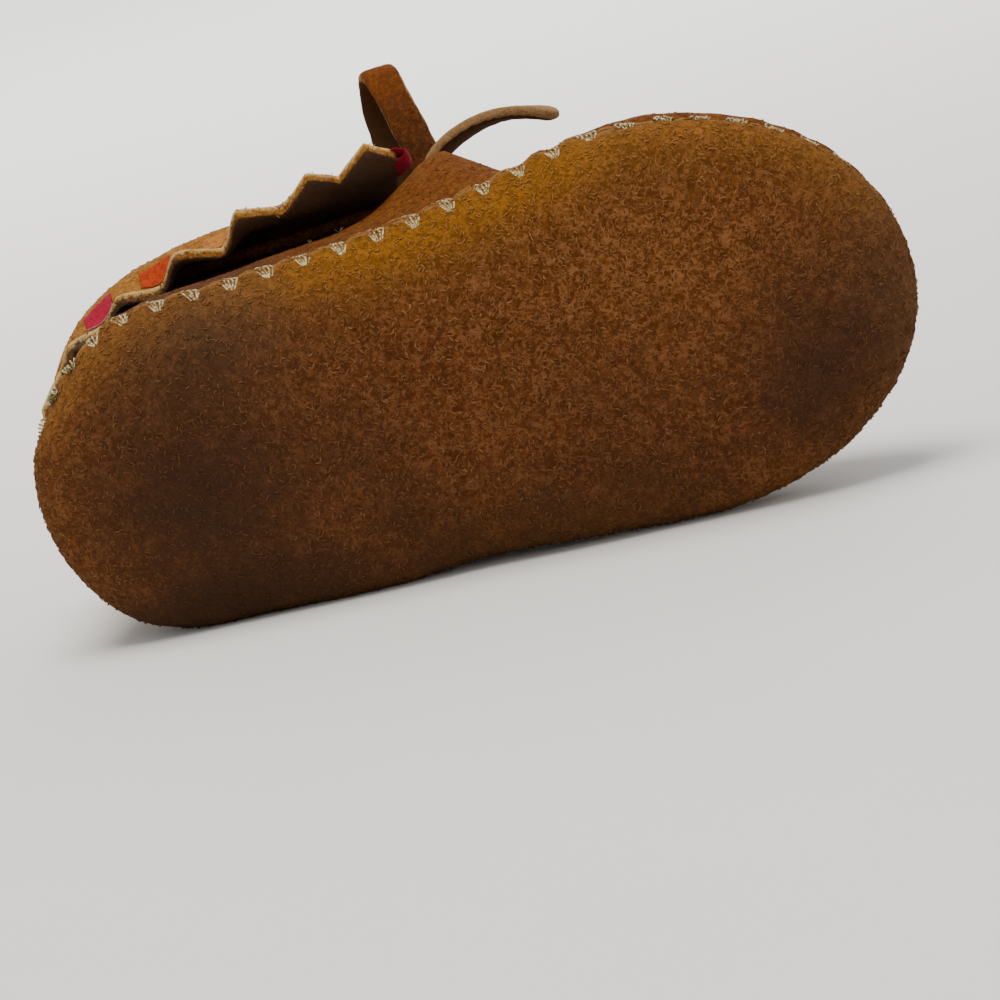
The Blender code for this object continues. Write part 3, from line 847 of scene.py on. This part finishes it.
def gather(travelled, distance, depth, width):
    """The seam's gathers: pulled in at each stitch and full between them."""
    if distance > 9 * MM:
        return 0.0
    pulled = at_stitch(travelled)
    pull = -depth * pulled ** 3 * hill(distance, width)
    full = 0.09 * MM * (1 - pulled) * hill(distance, 1.3 * width)
    tail = -0.10 * MM * pulled ** 2 * hill(distance - 3.5 * MM, 3.0 * MM)
    return pull + full + tail


def tucked(place):
    """1 where the seam is drawn in behind the sole's turn, 0 along the outer side."""
    outer = rise(-place.y, 6 * MM, 9 * MM)
    return 1 - outer * (1 - rise(place.x, 72 * MM, 14 * MM))


def rim_roll(travelled, distance, out, tuck):
    """How far a sewn rim rolls outward, more between the stitches, or is drawn in."""
    roll = out + 0.17 * MM * (1 - at_stitch(travelled))
    return (roll * (1 - tuck) - 0.75 * MM * tuck) * hill(distance, 1.6 * MM)


def heel_lean(place):
    """The heel stands a little fuller on its inner corner than on its outer one."""
    level = Vector((place.x, place.y, 0))
    outer = hill((level - mm(4, -16, 0)).length, 9 * MM)
    inner = hill((level - mm(6, 17, 0)).length, 10 * MM)
    return (0.8 * inner - 1.0 * outer) * MM


Crease = namedtuple("Crease", "start end width depth")
SOLE_CREASES = [Crease(*row) for row in (
    ((40, -14, 0), (52, -2, 0), 2.2, 0.35),
    ((62, 10, 0), (74, 17, 0), 2.0, 0.30),
    ((70, -12, 0), (82, -3, 0), 2.4, 0.25),
)]
UPPER_CREASES = [Crease(*row) for row in (
    ((62, -9, 31), (72, -16, 26), 1.6, 0.5),
    ((62, 9, 31), (73, 15, 26), 1.6, 0.5),
    ((70, -4, 29), (88, -7, 26), 2.0, 0.4),
    ((70, 5, 29), (90, 8, 25), 2.0, 0.35),
    ((48, -22, 24), (60, -24, 16), 1.8, 0.45),
    ((46, 21, 22), (58, 22, 14), 1.8, 0.45),
    ((8, -14, 20), (16, -19, 13), 1.8, 0.3),
    ((8, 14, 20), (16, 19, 13), 1.8, 0.3),
)]


def crease_depth(creases, place):
    """Soft troughs with a low ridge along each side."""
    total = 0.0
    for crease in creases:
        start, end = mm(*crease.start), mm(*crease.end)
        along = end - start
        t = min(max((place - start).dot(along) / along.length_squared, 0.0), 1.0)
        distance = (place - start - along * t).length
        width = crease.width * MM
        taper = sin(pi * (0.12 + 0.76 * t))
        total -= crease.depth * MM * taper * hill(distance, width)
        total += 0.45 * crease.depth * MM * taper * hill(distance - 2.0 * width, width)
    return total


Spot = namedtuple("Spot", "x y long wide size")
HEEL_STAIN = Spot(20.5, 4, 1.17, 1.25, 15.5)
BALL_STAIN = Spot(98.5, 6, 0.9, 1.25, 12)
BALL_CORNER = Spot(94, 14, 1, 1, 8)
WAIST_FRONT = Spot(73, 2, 1.5, 1, 9)
WAIST_BACK = Spot(43, 3, 1, 1.4, 7)
HEEL_SCUFF = Spot(27, -16, 1.7, 1, 6)
TOE_TIP = Spot(109, 4, 0.8, 2.3, 7)
WORN_EDGE = Spot(80, -11, 1.7, 1, 11)
THROAT = Spot(61, -18, 1, 1, 14)


def in_spot(spot, x, y):
    """1 in the middle of an oval spot, falling softly round it."""
    return hill(hypot((x - spot.x) / spot.long, (y - spot.y) / spot.wide), spot.size)


def add_sole(finish):
    """The sole's skin, stained at heel and ball, darkened by painted shade along its inner side,
    and golden along its outer edge, partly its own colour and partly a painted highlight.
    """
    mesh = soft_copy("sole", 3)

    def move(place):
        travelled, distance, near = by_seam(place)
        tuck = tucked(near.place)
        wall = hill(distance, 6.5 * MM)
        away = (near.out * wall + UP * (wall - 1)).normalized()
        crown = 1.2 * MM * smooth(distance / (17 * MM))
        soft = 0.30 * MM * noise(place * 60) + 0.10 * MM * noise(place * 210)
        bulge = 1.15 * MM * tuck * hill(distance - 4.6 * MM, 3.2 * MM)
        amount = crown + soft + bulge + crease_depth(SOLE_CREASES, place)
        amount += gather(travelled, distance, 0.36 * MM, 2.0 * MM) * (1 - 0.8 * tuck)
        rim = rim_roll(travelled, distance, 0.35 * MM, tuck) + heel_lean(place) * wall
        return above_floor(place + away * amount + near.out * rim, SKIN_LIFT) - place

    push(mesh, move)
    rows = []
    for vert in mesh.vertices:
        x, y, _ = vert.co / MM
        heel = 0.82 * in_spot(HEEL_STAIN, x, y)
        scuff = in_spot(HEEL_SCUFF, x, y)
        ball = 0.66 * in_spot(BALL_STAIN, x, y) + 0.25 * in_spot(BALL_CORNER, x, y)
        waist = 0.26 * in_spot(WAIST_FRONT, x, y) + 0.22 * in_spot(WAIST_BACK, x, y)
        # painted shade along the inner side, turned away from the light, deepest near its edge
        inner = rise(x, 34, 12) * (1 - rise(x, 74, 20)) * hill(y - 19, 10)
        inner = max(inner, 0.75 * rise(y, 10, 8) * (1 - rise(x, 40, 15)))
        tip = in_spot(TOE_TIP, x, y)
        soil = heel + waist + ball + 0.30 * scuff + 0.60 * inner + 0.22 * tip
        distance = by_seam(vert.co)[1]
        # the golden outer edge: partly a warmer, less-worn rim, partly a painted highlight where
        # the edge faces the light
        edge = hill(distance - 2.5 * MM, 5.5 * MM) * (0.3 + 0.7 * rise(-y, 2, 10))
        toe_rim = edge * rise(x, 72, 10)
        worn = in_spot(WORN_EDGE, x, y)
        glow = edge * (1 - 0.6 * heel) * (1 - 0.4 * scuff) * (1 - 0.3 * rise(x, 70, 14))
        rows.append((
            0.34 * scuff + 0.35 * tip + 0.15 * heel + 0.08 * toe_rim,
            max(worn, 0.9 * toe_rim),
            min(1.0, soil),
            min(1.0, glow + 0.22 * worn + 0.15 * toe_rim),
        ))
    paint(mesh, **dict(zip(("dust", "worn", "soil", "glow"), zip(*rows))))
    return finish_piece("sole_panel", mesh, finish, "sole_suede", ["sole"])


def add_upper(finish):
    """The upper's skin, swollen at the throat and drawn in at the heel's outer wall."""
    mesh = soft_copy("upper", 2)
    throat_bump = mm(61, -22, 18)
    throat_swell = mm(55.5, -22, 21)

    def move(place):
        travelled, distance, near = by_seam(place)
        tuck = tucked(near.place)
        soft = 0.40 * MM * noise(place * 75) + 0.14 * MM * noise(place * 240)
        bump = 0.9 * MM * hill((place - throat_bump).length, 7 * MM)
        bump += 2.4 * MM * hill((place - throat_swell).length, 5.5 * MM)
        dip = hill(place.x - 68.5 * MM, 4.8 * MM) * rise(place.z, 9 * MM, 6 * MM)
        amount = soft + bump + crease_depth(UPPER_CREASES, place)
        amount -= 1.5 * MM * dip * rise(-place.y, 4 * MM, 8 * MM)
        amount += gather(travelled, distance, 0.55 * MM, 2.2 * MM)
        quarter = rise(-place.y, 5 * MM, 6 * MM) * hill(place.x - 18 * MM, 13 * MM)
        amount -= 2.0 * MM * quarter * hill(place.z - 21 * MM, 5.5 * MM)
        ball = hill(place.x - 72 * MM, 9 * MM) * (1 if place.y < 0 else 0)
        rim = rim_roll(travelled, distance, (0.45 + 0.5 * ball) * MM, tuck)
        rim += heel_lean(place) * hill(distance, 9 * MM)
        return above_floor(place + from_middle(place) * amount + near.out * rim, SKIN_LIFT) - place

    push(mesh, move)
    soil, glow = [], []
    for vert in mesh.vertices:
        x, y, z = vert.co / MM
        # darker low on the heel's outer wall, under the cuff: partly ground-in dirt, partly
        # painted shade of the cuff; the warm tone high on the throat is partly a painted highlight
        patchy = 1 + 0.5 * noise(vert.co * 80)
        low = hill(z - 9, 5.5) * smooth((60 - x) / 34)
        soil.append(0.62 * low * patchy * (0.35 + 0.65 * smooth(-y / 8)))
        glow.append(0.8 * in_spot(THROAT, x, y) * rise(z, 16, 10))
    paint(mesh, soil=soil, glow=glow)
    return finish_piece("upper_wall", mesh, finish, "upper_suede", ["upper"])


def soft_move(amount, size):
    """Loose waviness of a thin skin."""
    return lambda place: from_middle(place) * amount * noise(place * size)


# how the hem of the outer side has crept, tooth and notch by turns, from the heel to the front
HemShift = namedtuple("HemShift", "along forward inward")
HEM_SHIFTS = [HemShift(*row) for row in (
    (0.0, 0.0, 0.0), (6.4, 0.5, 0.0), (9.9, 1.2, 1.4), (13.5, 1.1, 0.1), (17.9, 1.8, 1.95),
    (22.2, 1.1, 0.1), (26.6, 2.1, 1.5), (31.4, 0.9, 0.0), (35.6, 1.8, 0.0), (40.7, 1.4, 0.3),
    (44.8, 0.9, -0.5), (50.1, 0.2, 0.2), (54.0, 0.0, 0.0),
)]


def add_cuff(finish):
    """The cuff's skin; what faces the shoe is darkened with painted shade."""
    mesh = soft_copy("cuff", 2, 0.9, 0.25)

    def creep(place):
        weight = smooth((28 * MM - place.z) / (5 * MM)) * rise(-place.y, 2 * MM, 6 * MM)
        along = place.x / MM
        forward, inward = (read(HEM_SHIFTS, column, along) for column in ("forward", "inward"))
        return mm(forward, inward, 0) * weight

    push(mesh, creep)
    push(mesh, soft_move(0.35 * MM, 90))
    push(mesh, soft_move(0.12 * MM, 300))
    # painted shade on the faces turned towards the shoe, which the cuff hides from the light
    facing = [vert.normal.dot(from_middle(vert.co)) for vert in mesh.vertices]
    paint(mesh, soil=[smooth((0.25 - out) / 0.5) for out in facing], glow=[0.0] * len(facing))
    return finish_piece("cuff_fold", mesh, finish, "cuff_suede", ["cuff"])


def add_small_skins(upper_finish, felt, thong_finish):
    """The skins of the tongue, the insole and the thong's run."""
    for name, node, levels, crease, amount, size, finish, slot in (
        ("tongue_flap", "tongue", 2, 0.9, 0.3, 110, upper_finish, "upper_suede"),
        ("felt_insole", "insole", 2, 0.7, 0.2, 130, felt, "crimson_felt"),
        ("thong_run", "lace_run", 1, 0.3, 0.12, 500, thong_finish, "thong_suede"),
    ):
        mesh = soft_copy(node, levels, crease)
        push(mesh, soft_move(amount * MM, size))
        finish_piece(name, mesh, finish, slot, [node])


# ---- pieces: the cuff's felt patches ----

Station = namedtuple("Station", "low high out")
# the tab's turn round the cuff's front edge: how far on, how far out, and which way it faces
TAB_TURN = (
    (1.8, 0.0, 1.0), (3.2, 0.0, 0.8), (4.4, -0.5, 0.0), (4.0, -1.1, -0.8), (2.4, -1.4, -1.0),
)


def tree_of(*pieces):
    """A tree of the pieces' surfaces, in the shoe's frame, to lay small things on."""
    verts, faces = [], []
    for piece in pieces:
        start = len(verts)
        verts += [TO_SHOE @ v.co for v in piece.data.vertices]
        faces += [[start + i for i in p.vertices] for p in piece.data.polygons]
    return BVHTree.FromPolygons(verts, faces)


def stations_at(skin, spokes, down, tall):
    """Runs of places where the cuff has an outer face over the whole height of a band."""
    runs, on_cuff = [], False
    for spoke in spokes:
        low = CUFF_HEIGHT - CUFF_FALL * spoke.along * SOLE_LENGTH - down - tall
        hits = []
        for height in (low, low + tall):
            start = spoke.root + spoke.ray * 60 * MM + UP * height
            hits.append(skin.ray_cast(start, -spoke.ray)[0])
        near = all(hits) and (hits[0] - hits[1]).length < 2.2 * tall
        if near and not on_cuff:
            runs.append([])
        if near:
            runs[-1].append(Station(*hits, spoke.ray))
        on_cuff = near
    return [run for run in runs if len(run) > 3]


def wrapped_end(station, forward):
    """A patch's end, turned round the cuff's front edge."""
    ends = []
    for on, outward, facing in TAB_TURN:
        shift = forward * on * MM + station.out * outward * MM
        out = (station.out * facing + forward * (1 - abs(facing))).normalized()
        ends.append(Station(station.low + shift, station.high + shift, out))
    return ends


def patch_mesh(stations, dye, pale, skin=None):
    """A felt patch along stations, lying on the skin where one is given."""
    last = len(stations) - 1

    def place(share, turn):
        i = min(int(share * last), last - 1)
        here, after, t = stations[i], stations[i + 1], share * last - i
        low, high = here.low.lerp(after.low, t), here.high.lerp(after.high, t)
        out = here.out.lerp(after.out, t).normalized()
        across, height = boxy(turn, 0.5, 0.8)
        ragged = 1 + 0.06 * noise(low * 1500)
        under = (low + high) / 2 + (high - low) / 2 * across * ragged
        hit, normal = skin.ray_cast(under + out * 12 * MM, -out)[:2] if skin else (None, None)
        if hit:
            under, out = hit, normal if normal.dot(out) > 0 else -normal
        return under + out * (0.12 * MM + height * PATCH_THICK / 2)

    mesh = tube_mesh("patch", 2 * last, 16, place)
    turns = marks_of(mesh, "turn")
    low_edge = [pale * rise(-cos(turn * tau), 0.5, 0.4) for turn in turns]
    paint(mesh, pale=low_edge, dye=[dye] * len(turns))
    return mesh


def add_patches(cuff, finish):
    """Patches over the cuff's notches, and a tab round each front edge."""
    skin = tree_of(cuff)
    spokes = side_spokes(-1, *PATCH_STEPS)[::-1] + side_spokes(1, *PATCH_STEPS)[1:]
    on_teeth = [s for s in spokes if s.along <= CUFF_END - TAB_LONG]
    teeth = stations_at(skin, on_teeth, NOTCH_DOWN, TOOTH_BAND)
    band = [s for run in stations_at(skin, on_teeth, PATCH_DOWN, PATCH_TALL) for s in run]
    meshes = []
    for number, (tooth, after) in enumerate(zip(teeth, teeth[1:])):
        notch = (tooth[-1].low + after[0].low) / 2
        run = [s for s in band if (s.low - notch).xy.length < PATCH_LONG / 2]
        dye = PATCH_DYES[number % 3]
        if len(run) > 3:
            meshes.append(patch_mesh(run, dye, 0.62 - smooth(4 * dye), skin))
    for side in (-1, 1):
        spokes = side_spokes(side, *TAB_STEPS)
        front = [s for s in spokes if CUFF_END - TAB_LONG < s.along < CUFF_END]
        run = stations_at(skin, front, TAB_DOWN, PATCH_TALL)[-1][-4:]
        forward = (run[-1].low - run[-2].low).normalized()
        meshes.append(patch_mesh(run + wrapped_end(run[-1], forward), 0.0, 0.0))
    return finish_piece("cuff_patches", join(meshes, "cuff_patches"), finish, "crimson_felt")


# ---- pieces: seam stitches ----

THREAD_SPECKS = (43, -24, 24), (39, -24, 24)


def strand_mesh(stops, radius):
    """A round strand through stops."""
    line = catmull_rom(stops, (stops[1] - stops[0]).length / 1.4 + 1e-6)
    last = len(line) - 1

    def place(share, turn):
        i = round(share * last)
        forward = (line[min(i + 1, last)] - line[max(i - 1, 0)]).normalized()
        side = forward.orthogonal().normalized()
        angle = turn * tau
        return line[i] + (side * cos(angle) + forward.cross(side) * sin(angle)) * radius

    return tube_mesh("strand", last, 6, place)


def add_stitches(sole, upper, finish):
    """Whipstitches over the seam, each a bundle of fine strands spread between two holes."""
    skin = tree_of(sole, upper)
    chance = random.Random(4)
    meshes = []
    for number in range(STITCHES):
        slant = chance.uniform(0.5, 1.2) * MM
        tuck = tucked(seam_at(number * PITCH)[0])
        for strand in range(STRANDS):
            deep = STITCH_DEEP * chance.uniform(0.90, 1.06) * (1 - 0.8 * tuck)
            tall = STITCH_TALL * chance.uniform(0.85, 1.10)
            stray = chance.uniform(-0.08, 0.08) * MM
            stops = []
            for i in range(STRAND_STOPS + 1):
                t = i / STRAND_STOPS
                fan = t / 0.55 if t < 0.55 else (1 - t) / 0.45
                aside = (strand - STRANDS // 2) * (0.15 + 0.52 * fan) * MM
                aside += stray - slant * (t - 0.15)
                place, out = seam_at(number * PITCH + aside)
                target = place + UP * ((deep + tall) * t - deep)
                hit, _, _, reached = skin.ray_cast(target + out * 4 * MM, -out, 6 * MM)
                if not hit or reached > 5.4 * MM:
                    hit = target - out * 0.2 * MM
                lift = 0.24 * MM * sin(pi * t) ** 0.5 - 0.15 * MM
                away = (out - UP * (0.6 * cos(pi * t))).normalized()
                stops.append(above_floor(hit + away * lift, 0.2 * MM))
            meshes.append(strand_mesh(even(stops, 2), STRAND / 2 * chance.uniform(0.85, 1.1)))
    for speck in THREAD_SPECKS:
        root = skin.find_nearest(mm(*speck))[0]
        for _ in range(4):
            way = Vector((chance.uniform(-1, 1), -0.5, chance.uniform(-1, 1)))
            stops = [
                root + way * k * 0.22 * MM + mm(0, 0, 0.08 * k * k) for k in range(4)
            ]
            meshes.append(strand_mesh(stops, 0.06 * MM))
    return finish_piece("seam_stitches", join(meshes, "seam_stitches"), finish, "sole_suede")


# ---- pieces: nap ----

Fibres = namedtuple("Fibres", "count length radius curl")
FIBRE_STEPS = 3
FIBRE_WIDTHS = (1.0, 0.92, 0.72, 0.0)
FIBRE_TONES = (0.45, 0.8, 1.0, 1.0)


def fibre_points(root, normal, fibres, chance):
    """A short fibre that rises a little, bends round and comes back down."""
    side = Vector((chance.gauss(0, 1), chance.gauss(0, 1), chance.gauss(0, 1)))
    side = (side - normal * side.dot(normal)).normalized()
    aside = normal.cross(side)
    turn = chance.choice((-1, 1)) * chance.uniform(0.3, 1.0) * fibres.curl
    step = fibres.length * chance.uniform(0.55, 1.25) / FIBRE_STEPS
    stand = chance.uniform(0.25, 0.8)
    points = [root - normal * 0.06 * MM]
    for i in range(FIBRE_STEPS):
        bend = turn * i
        level = side * cos(bend) + aside * sin(bend)
        points.append(points[-1] + (level + normal * stand * (0.9 - 0.7 * i)).normalized() * step)
    return points


def plain_fibre():
    """One three-sided fibre with two joints and a pointed tip, its joints 1 apart up Z."""
    bm = bmesh.new()
    bmesh.ops.create_cone(
        bm, cap_ends=True, segments=3, radius1=1.0, radius2=0.0, depth=float(FIBRE_STEPS)
    )
    bmesh.ops.translate(bm, vec=(0, 0, FIBRE_STEPS / 2), verts=bm.verts)
    for joint in range(1, FIBRE_STEPS):
        everything = bm.verts[:] + bm.edges[:] + bm.faces[:]
        bmesh.ops.bisect_plane(bm, geom=everything, plane_co=(0, 0, joint), plane_no=(0, 0, 1))
    return mesh_from(bm, "plain_fibre")


def nap_roots(piece, fibres, seed, top):
    """Where each fibre of a nap grows, the points along it, and the marks under it."""
    source = piece.data
    source.calc_loop_triangles()
    triangles = source.loop_triangles
    reach = list(accumulate(t.area for t in triangles))
    soil, glow = (source.attributes[name].data for name in ("soil", "glow"))
    to_shoe = TURN.transposed()
    chance = random.Random(seed)
    roots, tries = [], 0
    while len(roots) < fibres.count and tries < fibres.count * 6:
        tries += 1
        t = triangles[min(bisect(reach, chance.random() * reach[-1]), len(triangles) - 1)]
        a, b = sorted((chance.random(), chance.random()))
        corners = [source.vertices[i].co for i in t.vertices]
        root = TO_SHOE @ (corners[0] * a + corners[1] * (b - a) + corners[2] * (1 - b))
        normal = to_shoe @ t.normal
        if chance.random() > float(normal.z < top):
            continue
        points = fibre_points(root, normal, fibres, chance)
        if (points[-1] - FLOOR_PLACE).dot(FLOOR_UP) < 0.1 * MM:
            continue
        thick = fibres.radius * chance.uniform(0.7, 1.2)
        # each fibre takes the dirt and painted shade, and the warm tone and painted highlight, of
        # the skin at its root
        marks = chance.random() ** 1.5, soil[t.vertices[0]].value, glow[t.vertices[0]].value
        roots.append((points, normal, thick, marks))
    return roots


def add_nap(name, piece, fibres, seed, top, finish, slot):
    """Many short curled fibres, rooted where the piece's surface faces up less than top."""
    fibre = plain_fibre()
    rings = []
    for vert in fibre.vertices:
        out = vert.co.xy
        rings.append((round(vert.co.z), out.normalized() if out.length > 0.01 else out * 0))
    roots = nap_roots(piece, fibres, seed, top)
    bm = bmesh.new()
    for _ in roots:
        bm.from_mesh(fibre)
    bpy.data.meshes.remove(fibre)
    verts = iter(bm.verts)
    tones, soils, glows = [], [], []
    for points, normal, thick, (tone, soil, glow) in roots:
        ways = [b - a for a, b in zip(points, points[1:])]
        ways.append(ways[-1])
        for joint, out in rings:
            side = ways[joint].cross(normal).normalized()
            up = ways[joint].cross(side).normalized()
            wide = thick * FIBRE_WIDTHS[joint]
            next(verts).co = points[joint] + (side * out.x + up * out.y) * wide
            tones.append(tone * FIBRE_TONES[joint])
        soils += [min(1.0, soil * 1.05)] * len(rings)
        glows += [glow] * len(rings)
    bmesh.ops.recalc_face_normals(bm, faces=bm.faces)
    mesh = mesh_from(bm, name)
    paint(mesh, tone=tones, soil=soils, glow=glows)
    return finish_piece(name, mesh, finish, slot)


# ---- the whole shoe ----

def main():
    add_camera()
    thong_suede, sole_suede, upper_suede, cuff_suede = (
        suede_finish(part + "_suede_nap", *looks) for part, *looks in SUEDES
    )
    add_bow(thong_suede)
    sole = add_sole(sole_suede)
    upper = add_upper(upper_suede)
    cuff = add_cuff(cuff_suede)
    add_small_skins(upper_suede, felt_finish(), thong_suede)
    add_patches(cuff, patch_finish())
    add_stitches(sole, upper, thread_finish())

    # colour of dirt and painted shade for the fibres; the cuff's fibres take a lighter one, as
    # theirs is painted shade alone
    dirt_and_shade = (0.055, 0.026, 0.013)
    fine = Fibres(7000, 0.7 * MM, 0.07 * MM, 0.7)
    for part, skin, seed, fibres, top, *colours in (
        ("sole", sole, 11, Fibres(12000, 0.8 * MM, 0.11 * MM, 0.8), 0.25,
         (0.115, 0.040, 0.010), (0.33, 0.142, 0.055), (0.27, 0.115, 0.025), dirt_and_shade),
        ("upper", upper, 12, fine, 2.0,
         (0.105, 0.032, 0.005), (0.22, 0.085, 0.015), (0.23, 0.088, 0.010), dirt_and_shade),
        ("cuff", cuff, 13, fine, 2.0,
         (0.22, 0.09, 0.02), (0.44, 0.25, 0.08), (0.44, 0.22, 0.04), (0.11, 0.070, 0.038)),
    ):
        hair = hair_finish(part + "_fibres", *colours)
        add_nap(part + "_nap", skin, fibres, seed, top, hair, part + "_suede")
    add_studio(floor_finish())


main()

bpy.context.view_layer.update()
